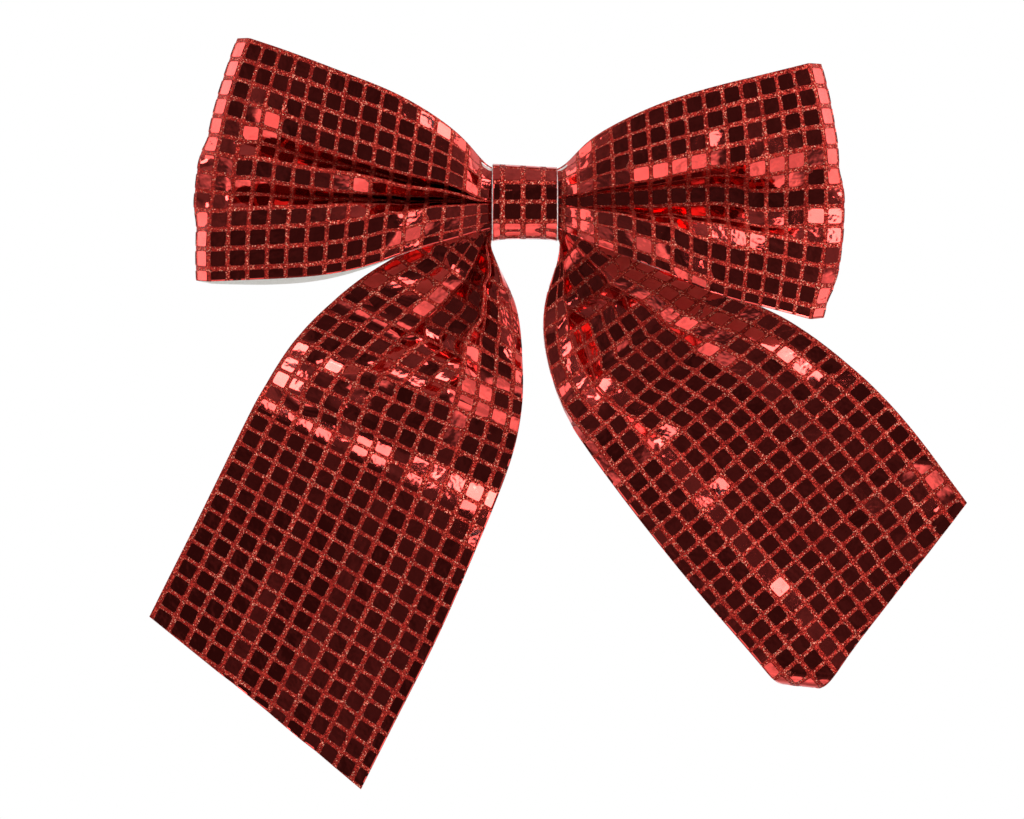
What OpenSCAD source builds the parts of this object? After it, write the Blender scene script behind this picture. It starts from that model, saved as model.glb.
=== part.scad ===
// Pre-made gift bow of wide laminated ribbon.
//
// A closed loop strip and a tail strip are gathered at the waist, bound with wire, and covered
// by a narrow wrap band whose end is glued down at the back. A bendable wire tie runs under the
// wrap. The front of the bow faces -Y, +Z is up, and the origin is the centre of the flat back
// face of the wrap. Every strip is a thin sheet: a grid of middle points given half of the
// ribbon's thickness to each side.

/* [Ribbon] */
// Thickness of the laminated ribbon
ribbon_t = 0.8; // [0.6:0.1:0.9]

/* [Knot] */
// Width of the wrap band, along X
wrap_w = 25.5; // [24:0.5:26]
// Height of the wrapped knot
wrap_h = 29.4; // [29:0.2:32]
// Depth of the wrapped knot, without the lapped end
wrap_d = 16; // [16:0.5:18]
// Corner radius of the wrap seen from the side
wrap_r = 7; // [6:0.5:7]
// Height of the end that laps over at the back
lap_h = 15; // [10:1:15]
// Thickness of the hot-melt bead under the lap
glue_t = 0.4; // [0.2:0.1:0.6]

/* [Loops] */
// Depth of a loop at its outer fold
fold_d = 14; // [11:1:15]
// How far the middle of a fold stands out past its corners
fold_bulge = 5; // [2:0.5:6]
// Number of pleats in a loop
loop_pleats = 3; // [3:1:3]
// Depth of the pleats at the waist, middle to ridge
waist_pleat = 1.5; // [1:0.1:1.5]
// Extra depth of the pleats in the front of a loop
loop_pleat = 14; // [8:1:15]

/* [Tails] */
// Number of pleats in a tail
tail_pleats = 2; // [2:1:2]
// Extra depth of the pleats in a tail
tail_pleat = 9; // [5:1:10]

/* [Binding wire] */
// Diameter of the binding wire
wire_d = 0.7; // [0.5:0.1:0.8]
// Number of turns round the waist
wire_turns = 3; // [2:1:4]

/* [Wire tie] */
// Width of the tie's plastic sleeve
tie_w = 4; // [3:0.5:5]
// Thickness of the tie's plastic sleeve
tie_t = 1; // [0.8:0.1:1.2]
// Diameter of the tie's steel core
core_d = 0.5; // [0.4:0.1:0.5]
// Length of each free leg of the tie
tie_leg = 78; // [50:1:90]
// Height of the tie above the centre of the knot
tie_z = 4; // [3:0.5:5]

/* [Hidden] */

ribbon_red = "firebrick";
fine = 48;

// Levels in Y, from the back face at 0 towards the front.
knot_y = -(ribbon_t + glue_t + wrap_d / 2);
loop_y = knot_y - 3.1;
loop_gap = 0.8;
tail_y = knot_y + 1.9;
tie_y = knot_y + 5.5;

// Stations in X: the gathers end just outside the wrap, and the moving strips start further
// out, so that they can swing about their hinges.
waist_end = wrap_w / 2 + 0.25;
loop_start = wrap_w / 2 + 1.75;
tail_start = wrap_w / 2 + 2.75;
tie_end = wrap_w / 2 + 0.25;
tie_start = wrap_w / 2 + 1.75;

// The room of the gathers inside the binding wire, in Z.
loop_top = 12;
loop_bottom = -10.5;
tail_top = -1;
tail_bottom = -12.2;

// Cubic curves in X and Z along the long edges of each strip, from the waist outwards. The
// curves of a loop end where its fold starts.
left_loop_edges = [
    [[-loop_start, loop_top], [-30, 35], [-79, 53], [-105, 62.5]],
    [[-loop_start, loop_bottom], [-48, -21], [-76, -29], [-121, -31]]
];
right_loop_edges = [
    [[loop_start, loop_top], [39, 32], [77, 42], [107, 53]],
    [[loop_start, loop_bottom], [40, -22], [74, -38], [108, -46]]
];
left_tail_edges = [
    [[-tail_start, tail_top], [-112, -55], [-94, -61], [-145, -159]],
    [[-tail_start, tail_bottom], [8, -54], [11, -93], [-63, -225]]
];
right_tail_edges = [
    [[tail_start, tail_top], [85, -56], [110, -29], [170, -115]],
    [[tail_start, tail_bottom], [-4, -53], [7, -92], [103, -188]]
];

// Direction in X and Z in which each loop points.
left_outward = [-0.99, 0.15];
right_outward = [1, 0.02];

// Steps of the grids.
sheet_steps = 14;
fold_steps = 6;
width_steps = 20;

function bezier(p, t) =
    pow(1 - t, 3) * p[0] + 3 * pow(1 - t, 2) * t * p[1]
    + 3 * (1 - t) * t * t * p[2] + pow(t, 3) * p[3];
function blend(a, b, t) = a + (b - a) * t;
function ease(t) = let (c = max(0, min(1, t))) c * c * (3 - 2 * c);
function across(edges, t, v) = blend(bezier(edges[0], t), bezier(edges[1], t), v);
function wave(pleats, v) = cos(360 * pleats * v);

// Middle plane of a loop in Y, half of its depth, and the depth of its pleats.
function loop_plane(t) = blend(loop_y, loop_y - 5, ease(1.6 * t));
function loop_half(t) = blend(loop_gap, fold_d / 2, ease(1.4 * t));
function front_pleat(t) = waist_pleat * (1 - t) + loop_pleat * t * pow(1 - t, 2);
function back_pleat(t) = 0.9 * waist_pleat * (1 - t);

function loop_xz(edges, outward, t, v, past) =
    across(edges, t, v) + outward * (past + fold_bulge * t * t * (1 - pow(2 * v - 1, 2)));
function front_point(edges, outward, t, v) =
    let (p = loop_xz(edges, outward, t, v, 0))
    [p.x, loop_plane(t) - loop_half(t) + front_pleat(t) * wave(loop_pleats, v), p.y];
function back_point(edges, outward, t, v) =
    let (p = loop_xz(edges, outward, t, v, 0))
    [p.x, loop_plane(t) + loop_half(t) + back_pleat(t) * wave(loop_pleats, v), p.y];
function fold_point(edges, outward, a, v) =
    let (r = fold_d / 2, p = loop_xz(edges, outward, 1, v, r * sin(a)))
    [p.x, loop_plane(1) - r * cos(a), p.y];

// Rows of middle points: out along the front, round the fold, and back along the rear.
function row(make) = [for (j = [0:width_steps]) make(j / width_steps)];
function loop_grid(edges, outward) = concat(
    [for (i = [0:sheet_steps]) row(function (v) front_point(edges, outward, i / sheet_steps, v))],
    [for (i = [1:fold_steps - 1]) row(function (v) fold_point(edges, outward, 180 * i / fold_steps, v))],
    [for (i = [sheet_steps:-1:0]) row(function (v) back_point(edges, outward, i / sheet_steps, v))]
);

// Middle surface of a tail: it comes back to clear the loop, then falls forward again.
function tail_plane(t) =
    blend(tail_y, knot_y + 4.6, ease(4 * t)) - 2.5 * ease(2.5 * t - 1.3);
function tail_depth(t) = 0.8 * waist_pleat * (1 - t) + tail_pleat * t * pow(1 - t, 2);
function tail_grid(edges) =
    [for (i = [0:sheet_steps]) let (t = i / sheet_steps)
        row(function (v) let (p = across(edges, t, v))
            [p.x, tail_plane(t) + tail_depth(t) * wave(tail_pleats, v), p.y])];

// Direction square to a grid of points at one of them.
function square_to(grid, i, j) =
    let (n = len(grid) - 1, m = len(grid[0]) - 1,
         du = grid[min(i + 1, n)][j] - grid[max(i - 1, 0)][j],
         dv = grid[i][min(j + 1, m)] - grid[i][max(j - 1, 0)],
         c = cross(du, dv))
    c / norm(c);

// A closed sheet of the ribbon's thickness round a grid of middle points.
module sheet(grid) {
    rows = len(grid);
    columns = len(grid[0]);
    sides = [for (s = [0.5, -0.5]) each [for (i = [0:rows - 1]) each [for (j = [0:columns - 1])
        grid[i][j] + s * ribbon_t * square_to(grid, i, j)]]];
    under = rows * columns;
    function at(i, j) = i * columns + j;
    rim = concat(
        [for (j = [0:columns - 1]) at(0, j)],
        [for (i = [1:rows - 1]) at(i, columns - 1)],
        [for (j = [columns - 2:-1:0]) at(rows - 1, j)],
        [for (i = [rows - 2:-1:1]) at(i, 0)]
    );
    faces = concat(
        [for (i = [0:rows - 2]) each [for (j = [0:columns - 2]) each
            [[at(i, j), at(i, j + 1), at(i + 1, j + 1)], [at(i, j), at(i + 1, j + 1), at(i + 1, j)]]]],
        [for (i = [0:rows - 2]) each [for (j = [0:columns - 2]) each
            [[at(i, j) + under, at(i + 1, j + 1) + under, at(i, j + 1) + under],
             [at(i, j) + under, at(i + 1, j) + under, at(i + 1, j + 1) + under]]]],
        [for (k = [0:len(rim) - 1]) let (a = rim[k], b = rim[(k + 1) % len(rim)]) each
            [[a, a + under, b + under], [a, b + under, b]]]
    );
    polyhedron(sides, faces);
}

// Stands a profile drawn in Y and Z up in X.
module along_x(from, to) {
    translate([from, 0, 0]) rotate([90, 0, 90]) linear_extrude(to - from) children();
}

// Profile in Y and Z of one gathered layer inside the knot.
module gathered_layer(y, top, bottom, depth, pleats) {
    steps = 8 * pleats;
    slant = depth * 2 * PI * pleats / (top - bottom);
    function middle(v) = [y + depth * wave(pleats, v), blend(top, bottom, v)];
    function lean(v) = let (s = slant * sin(360 * pleats * v)) [1, -s] / sqrt(1 + s * s);
    polygon(concat(
        [for (i = [0:steps]) middle(i / steps) + ribbon_t / 2 * lean(i / steps)],
        [for (i = [steps:-1:0]) middle(i / steps) - ribbon_t / 2 * lean(i / steps)]
    ));
}

// Rounded outline of the knot in Y and Z, shrunk by a distance all round.
module knot_outline(inset) {
    r = wrap_r - inset;
    dy = wrap_d / 2 - wrap_r;
    dz = wrap_h / 2 - wrap_r;
    translate([knot_y, 0]) {
        for (y = [-dy, dy], z = [-dz, dz]) translate([y, z]) circle(r, $fn = fine);
        square([2 * (dy + r), 2 * dz], center = true);
        square([2 * dy, 2 * (dz + r)], center = true);
    }
}

// The wrap seen from the side: it starts under its own end, goes round the gathers, then steps
// out and laps over its start.
module wrap_profile() {
    back = knot_y + wrap_d / 2;
    corner = wrap_h / 2 - wrap_r;
    difference() {
        knot_outline(0);
        knot_outline(ribbon_t);
        translate([back - ribbon_t - 0.1, corner - 3]) square([ribbon_t + 0.2, 3]);
    }
    polygon([[back, corner + 0.8], [back - ribbon_t, corner], [-ribbon_t, corner - 1.6], [0, corner - 1]]);
    translate([-ribbon_t, -lap_h / 2]) square([ribbon_t, lap_h / 2 + corner - 1]);
}

module knot_wrap() {
    color(ribbon_red) along_x(-wrap_w / 2, wrap_w / 2) wrap_profile();
}

module lap_glue() {
    color("ivory")
        translate([-wrap_w / 2 + 3, -ribbon_t - glue_t, -lap_h / 2 + 2])
            cube([wrap_w - 6, glue_t, lap_h - 5]);
}

// Binding wire: a helix of rounded rectangles round the gathers.
module cinch_wire() {
    corner = 5.5;
    half_y = wrap_d / 2 - ribbon_t - 0.45;
    half_z = wrap_h / 2 - ribbon_t - 0.5;
    per_turn = 16;
    ring_sides = 8;
    pitch = 1.3 * wire_d;
    last = wire_turns * per_turn;
    function centre(i) =
        let (a = (i + 0.5) * 360 / per_turn)
        [pitch * (i - last / 2) / per_turn,
         knot_y + sign(cos(a)) * (half_y - corner) + corner * cos(a),
         sign(sin(a)) * (half_z - corner) + corner * sin(a)];
    function out(i) = let (a = (i + 0.5) * 360 / per_turn) [0, cos(a), sin(a)];
    points = [for (i = [0:last]) each [for (k = [0:ring_sides - 1]) let (b = 360 * k / ring_sides)
        centre(i) + wire_d / 2 * (cos(b) * out(i) + sin(b) * [1, 0, 0])]];
    function at(i, k) = i * ring_sides + k % ring_sides;
    faces = concat(
        [[for (k = [0:ring_sides - 1]) at(0, k)]],
        [for (i = [0:last - 1]) each [for (k = [0:ring_sides - 1]) each
            [[at(i, k), at(i + 1, k + 1), at(i, k + 1)], [at(i, k), at(i + 1, k), at(i + 1, k + 1)]]]],
        [[for (k = [ring_sides - 1:-1:0]) at(last, k)]]
    );
    color("silver") polyhedron(points, faces);
}

module loop_waist() {
    color(ribbon_red) along_x(-waist_end, waist_end) {
        for (y = [-loop_gap, loop_gap])
            gathered_layer(loop_y + y, loop_top, loop_bottom, waist_pleat, loop_pleats);
    }
}

module tail_waist() {
    color(ribbon_red) along_x(-waist_end, waist_end)
        gathered_layer(tail_y, tail_top, tail_bottom, 0.8 * waist_pleat, tail_pleats);
}

module left_loop() {
    color(ribbon_red) sheet(loop_grid(left_loop_edges, left_outward));
}

module right_loop() {
    color(ribbon_red) sheet(loop_grid(right_loop_edges, right_outward));
}

module left_tail() {
    color(ribbon_red) sheet(tail_grid(left_tail_edges));
}

module right_tail() {
    color(ribbon_red) sheet(tail_grid(right_tail_edges));
}

// Flat plastic sleeve with a hole along it for the core.
module sleeve(from, to) {
    color("white") translate([from, tie_y, tie_z]) difference() {
        translate([0, -tie_t / 2, -tie_w / 2]) cube([to - from, tie_t, tie_w]);
        translate([-1, 0, 0]) rotate([0, 90, 0]) cylinder(h = to - from + 2, d = core_d + 0.1, $fn = fine);
    }
}

module core(from, to) {
    color("silver") translate([from, tie_y, tie_z]) rotate([0, 90, 0])
        cylinder(h = to - from, d = core_d, $fn = fine);
}

knot_wrap();
lap_glue();
cinch_wire();
loop_waist();
tail_waist();
left_loop();
right_loop();
left_tail();
right_tail();
sleeve(-tie_end, tie_end);  // tie_sleeve
core(-tie_end, tie_end);  // tie_core
sleeve(-tie_start - tie_leg, -tie_start);  // left_tie_sleeve
core(-tie_start - tie_leg, -tie_start);  // left_tie_core
sleeve(tie_start, tie_start + tie_leg);  // right_tie_sleeve
core(tie_start, tie_start + tie_leg);  // right_tie_core
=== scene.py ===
"""Pre-made gift bow: mirror-foil ribbon, wrap, binding wire, glue and wire tie round the CAD frame.

The ribbon is worked out in its own coordinates: u runs along the strip from the middle of the
knot, and v runs across it from 0 to 1. Each cross-section is a curve as long as the ribbon is
wide, pleated until its ends are as far apart as the ribbon's edges are there. Lengths are in
millimetres until a mesh is made, and the frame is the CAD's: -Y is the front, +Z is up.
"""
import math

import bpy
import numpy as np
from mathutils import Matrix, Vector


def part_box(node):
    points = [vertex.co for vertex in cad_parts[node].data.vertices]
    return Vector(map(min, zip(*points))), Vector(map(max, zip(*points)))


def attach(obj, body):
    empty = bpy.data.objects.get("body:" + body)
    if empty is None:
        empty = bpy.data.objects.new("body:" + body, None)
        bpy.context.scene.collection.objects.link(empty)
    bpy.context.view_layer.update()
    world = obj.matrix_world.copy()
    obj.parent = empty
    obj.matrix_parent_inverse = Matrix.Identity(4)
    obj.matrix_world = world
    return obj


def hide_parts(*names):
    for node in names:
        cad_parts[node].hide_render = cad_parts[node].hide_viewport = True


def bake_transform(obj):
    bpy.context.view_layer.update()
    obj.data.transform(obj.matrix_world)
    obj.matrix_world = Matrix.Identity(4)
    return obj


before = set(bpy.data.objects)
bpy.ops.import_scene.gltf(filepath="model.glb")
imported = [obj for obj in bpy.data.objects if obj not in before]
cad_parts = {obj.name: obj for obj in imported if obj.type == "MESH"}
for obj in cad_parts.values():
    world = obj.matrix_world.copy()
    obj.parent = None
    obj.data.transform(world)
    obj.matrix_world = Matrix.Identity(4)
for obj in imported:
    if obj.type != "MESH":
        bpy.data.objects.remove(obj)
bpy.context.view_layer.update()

MM = 0.001
rng = np.random.default_rng(17)

# Ribbon stock, and the foil squares printed on it: u along the ribbon, v across it
WIDTH = 101.6
THICK = 0.5
PITCH_U = 7.5
ROWS = 12.75
PITCH_V = WIDTH / ROWS
TILE_U = 5.8
TILE_V = 5.95
TILE_LIFT = 0.10

# Grid of the loops and tails
ACROSS = 144
STEP_U = 1.5
v_line = (np.arange(ACROSS) + 0.5) / ACROSS
v_nodes = np.linspace(0, 1, ACROSS + 1)

# Rows of squares: the middle of the first one, and which places across lie between two rows
PRINT_V = PITCH_V / 2 + 1.0
ROWS_WHOLE = int(ROWS)
row_middles = PRINT_V + PITCH_V * np.arange(ROWS_WHOLE + 1)
row_edges = np.ravel([[m - TILE_V / 2, m + TILE_V / 2] for m in row_middles])
in_gap = np.abs((v_line * WIDTH - PRINT_V + PITCH_V / 2) % PITCH_V - PITCH_V / 2) > TILE_V / 2

# The wrap, with the depth at which the loops bend beside it
wrap_low, wrap_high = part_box("knot_wrap")
KNOT_FRONT = wrap_low.y / MM
WRAP_X = wrap_high.x / MM

# How far the squares keep the ribbon flat under them
STIFFNESS = 0.85

# Leans are in radians. A wall leans STEEPEST at most. Those past STEEP_FROM take the gain that
# fits a section to its place, in full from STEEP_OVER beyond it
STEEPEST = math.radians(86)
STEEP_FROM = 0.35
STEEP_OVER = 0.3
MOST_GAIN = 40.0
HALVINGS = 22

# Values that change along a strip: at the knot, away from it, and the u where the change
# starts and the length that it takes
GAP_KEPT = (0.4, 1.0, 20, 65)
SLACK = (0.22, 0.045, 10, 50)
DEPTH_KEPT = (0.16, 1.0, WRAP_X - 2, 20)
RIPPLE = (0, 0.10, WRAP_X, 25)

# A lasting kink fades over this length at each end, and reaches this far past the middle of the
# gaps beside it. The rows beside it count as flat up to the first lean below, and as steep from
# the second beyond it
KINK_FADE = 10
KINK_REACH = 0.6
NEARLY_FLAT = 0.1
FLAT_OVER = 0.25

# Places along a strip where the leans of its walls are given
WALLS_AT = (25, 60, 100, 118)

# The end fold of a loop turns in two squares. Each leans FOLD_LEAN degrees from its own layer, or
# SHARP_LEAN in the sharp rows. How far past these the sharp turn reaches and fades is in rows
FOLD_LEAN = 41
SHARP_LEAN = 3
SHARP_REACH = 1.4
SHARP_FADE = 1.6
FOLD_STEPS = 40


# -------- numbers and curves

def blend(a, b, t):
    return a + (b - a) * t


def ease(t):
    t = np.clip(t, 0, 1)
    return t * t * (3 - 2 * t)


def changed(u, at_knot, away, start, length):
    """A value that changes along a strip, at u."""
    return blend(at_knot, away, ease((u - start) / length))


def spline(knots, values, at):
    """Natural cubic spline through values at knots, read at the places in at."""
    x = np.asarray(knots, float)
    y = np.asarray(values, float)
    n = len(x)
    h = np.diff(x)
    matrix = np.eye(n)
    right = np.zeros_like(y)
    for i in range(1, n - 1):
        matrix[i, i - 1:i + 2] = h[i - 1], 2 * (h[i - 1] + h[i]), h[i]
        right[i] = 6 * ((y[i + 1] - y[i]) / h[i] - (y[i] - y[i - 1]) / h[i - 1])
    curve = np.linalg.solve(matrix, right)
    at = np.asarray(at, float)
    k = np.clip(np.searchsorted(x, at) - 1, 0, n - 2)
    left = (at - x[k])[:, None]
    rest = (x[k + 1] - at)[:, None]
    span = h[k][:, None]
    return ((curve[k] * rest ** 3 + curve[k + 1] * left ** 3) / (6 * span)
            + (y[k] / span - curve[k] * span / 6) * rest
            + (y[k + 1] / span - curve[k + 1] * span / 6) * left)


def ripple(u, v, height, seed):
    """Faint uneven waves that a ribbon keeps from its reel, at one u and all places across."""
    total = np.zeros(np.shape(v))
    for k in range(5):
        long, cross, turn = 0.13 + 0.05 * k, 4 + 3.1 * k, 2.4 * k * seed + 1.7 * seed
        total += np.sin(long * u + turn) * np.cos(cross * v + 1.3 * turn) / (1 + 0.6 * k)
    return height * total


def stiffened(lean):
    """Lean of each place across, with the foil squares kept nearly flat and the gaps bent."""
    across = v_line * WIDTH
    flats = np.array([lean[np.abs(across - middle) < TILE_V / 2].mean() for middle in row_middles])
    facets = np.interp(across, row_edges, np.repeat(flats, 2))
    return blend(lean, facets, STIFFNESS)


def fixed_lean(u, leans, pattern):
    """Leans that stay as given, and how much each place across keeps to them, at v_line.

    Each is (from u, to u, row of squares at each, degrees). Where the rows beside it are nearly
    flat, they lean half as far the other way, so the rest of the ribbon stays where it was.
    """
    across = v_line * WIDTH
    fixed = np.zeros(ACROSS)
    hold = np.zeros(ACROSS)
    free = 1 - ease((np.abs(pattern) - NEARLY_FLAT) / FLAT_OVER)
    reach = [TILE_V / 2, PITCH_V / 2 + KINK_REACH]
    for beside in (True, False):
        for u_from, u_to, row_from, row_to, degrees in leans:
            share = np.clip((u - u_from) / (u_to - u_from), 0, 1)
            middle = PRINT_V + PITCH_V * (blend(row_from, row_to, share) - 1)
            ends = (ease((u - u_from + KINK_FADE) / KINK_FADE)
                    * ease((u_to + KINK_FADE - u) / KINK_FADE))
            away = np.abs(across - middle)
            if beside:
                away = np.abs(away - PITCH_V)
                degrees = -degrees / 2
                ends = ends * free
            part = ends * np.interp(away, reach, [1, 0])
            fixed = blend(fixed, math.radians(degrees), part)
            hold = np.maximum(hold, part)
    return fixed, hold


def wall_leans(pattern, gain):
    """Leans of a pattern's walls: slight ones stay as they are and steep ones take the gain."""
    steep = ease((np.abs(pattern) - STEEP_FROM) / STEEP_OVER)
    return STEEPEST * np.tanh(pattern * (1 + (gain - 1) * steep) / STEEPEST)


def section(chord, pattern, fixed, hold, gap, slack):
    """One pleated cross-section: place between its ends (0 to 1) and forward offset, at v_nodes.

    pattern is the lean of the ribbon's walls across it. Its gain is raised until the ends of a
    curve as long as the ribbon is wide are chord apart, while fixed leans stay as they are. gap
    is the share of their width that the gaps between the squares keep, and slack the share of
    the whole width that finer gathers take up.
    """
    target = min(1.0, chord / WIDTH + slack)
    kept = np.where(in_gap, gap, 1.0)
    low, high = 0.0, MOST_GAIN
    for _ in range(HALVINGS):
        gain = (low + high) / 2
        lean = stiffened(blend(wall_leans(pattern, gain), fixed, hold))
        if (kept * np.cos(lean)).mean() > target:
            low = gain
        else:
            high = gain
    along = np.concatenate([[0], np.cumsum(kept * np.cos(lean))])
    forward = np.concatenate([[0], np.cumsum(np.sin(lean))]) * WIDTH / ACROSS
    forward -= v_nodes * forward[-1]
    taken_up = chord / (along[-1] * WIDTH / ACROSS)
    return along / along[-1], taken_up * (forward - forward.mean())


def pleat_pattern(walls, gathers, u):
    """Lean of the walls at v_line, positive where they face edge 0, steady across each square.

    walls maps a row of squares to its lean at the first places of WALLS_AT, and the last lean
    holds from there on. Other rows stay flat.
    """
    given = [walls.get(row, (0,)) for row in range(1, ROWS_WHOLE + 2)]
    leans = [np.interp(u, WALLS_AT[:len(wall)], wall) for wall in given]
    pattern = np.interp(v_line * WIDTH, row_edges, np.repeat(leans, 2))
    count, gain, reach, phase = gathers
    fade = math.exp(-(max(u - WRAP_X, 0) / reach) ** 2)
    return pattern + gain * fade * np.sin(2 * math.pi * count * v_line + phase)


# -------- ribbon grids

def rows_of(stations):
    """Edges and middle depth at even steps along u. stations are (u, edge 0, edge 1, y)."""
    knots = [s[0] for s in stations]
    us = np.linspace(knots[0], knots[-1], int((knots[-1] - knots[0]) / STEP_U) + 1)
    values = [[*s[1], *s[2], s[3]] for s in stations]
    return us, spline(knots, values, us)


def soft_limit(y, limit, room=1.2):
    """y, eased from room below limit so that it never passes above it."""
    over = (y - limit) / room
    return limit + room * np.where(over > -1, -((1 - np.clip(over, -1, 1)) ** 2) / 4, over)


def crease_step(u, creases):
    """Forward offset from straight folds across the ribbon.

    Each is (u where it starts, length of the leaning part, rise at edge 0, rise at edge 1, and
    how late the rise changes from one to the other).
    """
    total = np.zeros(ACROSS + 1)
    for start, run, rise_0, rise_1, late in creases:
        part = np.clip((u - start) / run, 0, 1)
        total += part * blend(rise_0, rise_1, v_nodes ** late)
    return total


def face_rows(stations, walls, gathers, facing, bulge, outward, leans=(), creases=(), depth=1.0,
              seed=1, limit=None):
    """Points of one face of a ribbon: an array of rows (u), places across (v), and X, Y, Z.

    limit is a changing Y that the face stays in front of (facing 1) or behind (facing -1).
    """
    us, values = rows_of(stations)
    rows = []
    for u, (x0, z0, x1, z1, y) in zip(us, values):
        share = (u - us[0]) / (us[-1] - us[0])
        chord = math.hypot(x1 - x0, z1 - z0)
        pattern = pleat_pattern(walls, gathers, u)
        place, forward = section(chord, pattern, *fixed_lean(u, leans, pattern),
                                 changed(u, *GAP_KEPT), changed(u, *SLACK))
        forward = forward * changed(u, *DEPTH_KEPT) * depth + crease_step(u, creases)
        forward += ripple(u, v_nodes, changed(u, *RIPPLE), seed)
        belly = bulge * share ** 3 * 4 * place * (1 - place)
        level = y - facing * forward
        if limit is not None:
            level = facing * soft_limit(facing * level, facing * changed(u, *limit))
        rows.append(np.stack([blend(x0, x1, place) + outward[0] * belly, level,
                              blend(z0, z1, place) + outward[1] * belly], axis=1))
    return np.array(rows)


# Z and Y of points down the wrap's front that a loop stays behind, how far behind, and the
# length from the wrap's side over which it is let go
WRAP_FRONT = [(-14.0, -9.2), (-11.0, -15.0), (-8.0, -16.8), (-4.0, -17.1), (4.0, -17.1),
              (7.4, -16.2), (10.4, -14.0), (12.9, -11.4), (14.5, -8.0)]
TUCK_MARGIN = 1.2
TUCK_LENGTH = 9


def tucked(grid):
    """A front that stays behind the wrap's own front where it goes under the wrap."""
    front = np.interp(grid[..., 2], *np.transpose(WRAP_FRONT)) + TUCK_MARGIN
    hold = 1 - ease((np.abs(grid[..., 0]) - WRAP_X) / TUCK_LENGTH)
    bent = grid.copy()
    bent[..., 1] += hold * np.clip(front - grid[..., 1], 0, None)
    return bent


def fold_rows(front, back, outward, sharp):
    """Rows that carry a front row round the end of a loop to a back row, two squares long.

    sharp is the first and last row of squares that stay flat up to a sharp turn.
    """
    s = np.linspace(0, 2 * PITCH_U, FOLD_STEPS + 1)
    gap = (PITCH_U - TILE_U) / 2
    knots = [-gap, gap, PITCH_U - gap, PITCH_U + gap, 2 * PITCH_U - gap, 2 * PITCH_U + gap]
    row = (v_nodes * WIDTH - PRINT_V) / PITCH_V + 1
    flat = (ease((row - sharp[0] + SHARP_REACH) / SHARP_FADE)
            * ease((sharp[1] + SHARP_REACH - row) / SHARP_FADE))
    lean = blend(FOLD_LEAN, SHARP_LEAN, flat)
    turn = np.radians([np.interp(s, knots, [0, a, a, 180 - a, 180 - a, 180]) for a in lean]).T
    step = np.diff(s)[:, None]
    out = np.cumsum(np.cos(turn[:-1]) * step, axis=0)
    deep = np.cumsum(np.sin(turn[:-1]) * step, axis=0)
    share = deep / deep[-1]
    past = out - share * out[-1]
    rows = blend(front, back, share[..., None])
    rows[..., 0] += outward[0] * past
    rows[..., 2] += outward[1] * past
    return rows[:-1]


def curl(grid, crease, across, radius):
    """Rolls what lies beyond a line in X and Z backwards round a cylinder that touches it.

    crease is a point on the line, and across is the direction that leads away from the ribbon.
    """
    out = np.asarray(across, float) / math.hypot(*across)
    flat = grid[..., [0, 2]]
    beyond = (flat - np.asarray(crease)) @ out
    past = np.clip(beyond, 0, None)
    reach = radius * np.sin(past / radius)
    moved = flat + (reach - past)[..., None] * out
    bent = grid.copy()
    bent[..., 0] = moved[..., 0]
    bent[..., 2] = moved[..., 1]
    bent[..., 1] += radius * (1 - np.cos(past / radius))
    return bent


def lengths(points):
    """Length along a path at each of its points, or the mean over the lines along a grid."""
    steps = np.linalg.norm(np.diff(points, axis=0), axis=-1)
    return np.concatenate([[0], np.cumsum(steps.mean(axis=1) if steps.ndim > 1 else steps)])


def normals_of(grid):
    normals = np.cross(np.gradient(grid, axis=0), np.gradient(grid, axis=1))
    return normals / np.linalg.norm(normals, axis=2, keepdims=True)


class Strip:
    """A ribbon grid with its printed side, read at any u along it and v across it."""

    def __init__(self, grid, face, width=WIDTH):
        self.grid = grid
        self.face = face
        self.width = width
        self.places = grid.shape[1] - 1
        self.u = lengths(grid)
        self.normals = normals_of(grid) * face

    def _read(self, table, u, v):
        i = np.interp(u, self.u, np.arange(len(self.u)))
        j = np.clip(v, 0, 1) * self.places
        i0 = np.minimum(i.astype(int), len(self.u) - 2)
        j0 = np.minimum(j.astype(int), self.places - 1)
        fi = (i - i0)[..., None]
        fj = (j - j0)[..., None]
        return (table[i0, j0] * (1 - fi) * (1 - fj) + table[i0 + 1, j0] * fi * (1 - fj)
                + table[i0, j0 + 1] * (1 - fi) * fj + table[i0 + 1, j0 + 1] * fi * fj)

    def at(self, u, v, lift):
        """Points at u and v, moved by lift (mm) towards the printed side."""
        normal = self._read(self.normals, u, v)
        normal /= np.linalg.norm(normal, axis=-1, keepdims=True)
        return self._read(self.grid, u, v) + normal * np.asarray(lift)[..., None]


# -------- meshes

def placed(name, data):
    """A new object in the scene."""
    made = bpy.data.objects.new(name, data)
    bpy.context.scene.collection.objects.link(made)
    return made


def new_object(name, points, faces, materials, uvs=None, face_materials=None, sharp=None):
    """A smooth mesh object from points in mm. uvs holds one (u, v) for each point.

    Edges that bend by more than sharp degrees stay sharp.
    """
    mesh = bpy.data.meshes.new(name)
    mesh.from_pydata((np.asarray(points) * MM).tolist(), [], faces)
    for material in materials:
        mesh.materials.append(material)
    if face_materials is not None:
        mesh.polygons.foreach_set("material_index", np.asarray(face_materials, np.int32))
    mesh.polygons.foreach_set("use_smooth", np.ones(len(mesh.polygons), bool))
    if uvs is not None:
        layer = mesh.uv_layers.new(name="strip")
        corners = np.zeros(len(mesh.loops), np.int32)
        mesh.loops.foreach_get("vertex_index", corners)
        layer.data.foreach_set("uv", np.asarray(uvs)[corners].astype(np.float32).ravel())
    mesh.update()
    if sharp:
        mesh.set_sharp_from_angle(angle=math.radians(sharp))
    return placed(name, mesh)


def grid_faces(rows, columns, start=0, flip=False):
    faces = []
    for i in range(rows - 1):
        for j in range(columns - 1):
            a = start + i * columns + j
            face = [a, a + 1, a + columns + 1, a + columns]
            faces.append(face[::-1] if flip else face)
    return faces


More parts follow.
